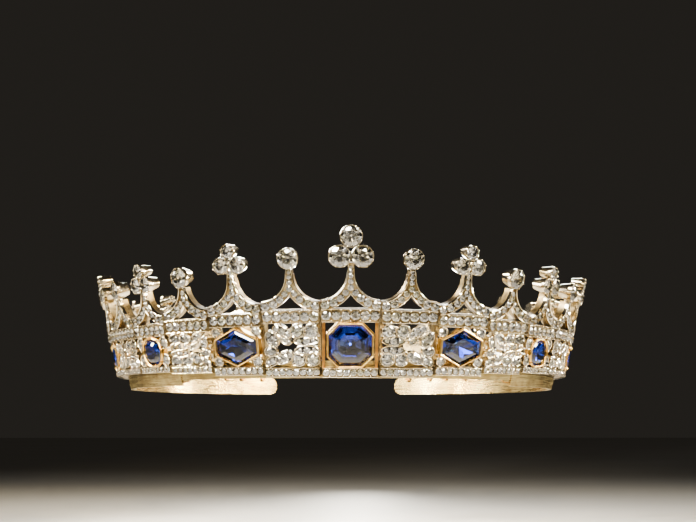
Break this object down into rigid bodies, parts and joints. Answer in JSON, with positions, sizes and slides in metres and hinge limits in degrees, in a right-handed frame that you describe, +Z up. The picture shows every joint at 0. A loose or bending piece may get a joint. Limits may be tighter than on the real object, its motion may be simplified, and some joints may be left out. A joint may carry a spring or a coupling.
{
  "type": "crown",
  "caption": "Open-backed coronet: a hinged gold browband carries outward-leaning sections of sapphires and diamond leaves under scalloped arms with round-stone finials.",
  "frame": {"origin": "middle of the base of the whole coronet, 3.55 mm in front of the axis of the ring", "axes": "+Z up; the front, with the middle finial, faces -Y; the opening at the back faces +Y; +X is the side of the right wing"},
  "size_m": [0.1142, 0.1109, 0.0311],
  "materials": {
    "frame_silver": "polished silver, set with small diamonds",
    "leaf_silver": "polished silver, cut to leaf shapes",
    "collet_silver": "polished silver cups with gold backs",
    "band_gold": "polished yellow gold",
    "bezel_gold": "bright polished yellow gold",
    "fastener_gold": "satin yellow gold",
    "diamond": "clear cut stone",
    "sapphire": "deep blue cut stone"
  },
  "bodies": {
    "front": {"centre_sapphire": "sapphire", "centre_section_frame": "frame_silver", "front_browband": "band_gold", "front_finial_diamonds": "diamond", "front_leaf_diamonds": "diamond", "front_leaf_settings": "leaf_silver", "front_rivets": "fastener_gold", "front_sapphire_bezels": "bezel_gold", "front_single_collets": "collet_silver", "front_trefoil_collets": "collet_silver", "hinge_pins": "fastener_gold", "left_hexagonal_sapphire": "sapphire", "left_section_frame_01": "frame_silver", "left_section_frame_02": "frame_silver", "left_section_frame_03": "frame_silver", "right_hexagonal_sapphire": "sapphire", "right_section_frame_01": "frame_silver", "right_section_frame_02": "frame_silver", "right_section_frame_03": "frame_silver"},
    "left_wing": {"left_back_sapphires": "sapphire", "left_cushion_sapphire": "sapphire", "left_section_frame_04": "frame_silver", "left_section_frame_05": "frame_silver", "left_section_frame_06": "frame_silver", "left_section_frame_07": "frame_silver", "left_section_frame_08": "frame_silver", "left_section_frame_09": "frame_silver", "left_section_frame_10": "frame_silver", "left_section_frame_11": "frame_silver", "left_section_frame_12": "frame_silver", "left_side_sapphire": "sapphire", "left_wing_browband": "band_gold", "left_wing_finial_diamonds": "diamond", "left_wing_leaf_diamonds": "diamond", "left_wing_leaf_settings": "leaf_silver", "left_wing_rivets": "fastener_gold", "left_wing_sapphire_bezels": "bezel_gold", "left_wing_single_collets": "collet_silver", "left_wing_trefoil_collets": "collet_silver"},
    "right_wing": {"right_back_sapphires": "sapphire", "right_cushion_sapphire": "sapphire", "right_section_frame_04": "frame_silver", "right_section_frame_05": "frame_silver", "right_section_frame_06": "frame_silver", "right_section_frame_07": "frame_silver", "right_section_frame_08": "frame_silver", "right_section_frame_09": "frame_silver", "right_section_frame_10": "frame_silver", "right_section_frame_11": "frame_silver", "right_section_frame_12": "frame_silver", "right_side_sapphire": "sapphire", "right_wing_browband": "band_gold", "right_wing_finial_diamonds": "diamond", "right_wing_leaf_diamonds": "diamond", "right_wing_leaf_settings": "leaf_silver", "right_wing_rivets": "fastener_gold", "right_wing_sapphire_bezels": "bezel_gold", "right_wing_single_collets": "collet_silver", "right_wing_trefoil_collets": "collet_silver"}
  },
  "joints": [
    {"name": "left_wing_hinge", "type": "hinge", "parent": "front", "child": "left_wing", "pos_m": [-0.03404, -0.03094, 0.0028], "axis": [0.158, 0.1601, -0.9744], "range_deg": [-5, 8]},
    {"name": "right_wing_hinge", "type": "hinge", "parent": "front", "child": "right_wing", "pos_m": [0.03404, -0.03094, 0.0028], "axis": [0.158, -0.1601, 0.9744], "range_deg": [-5, 8]}
  ]
}
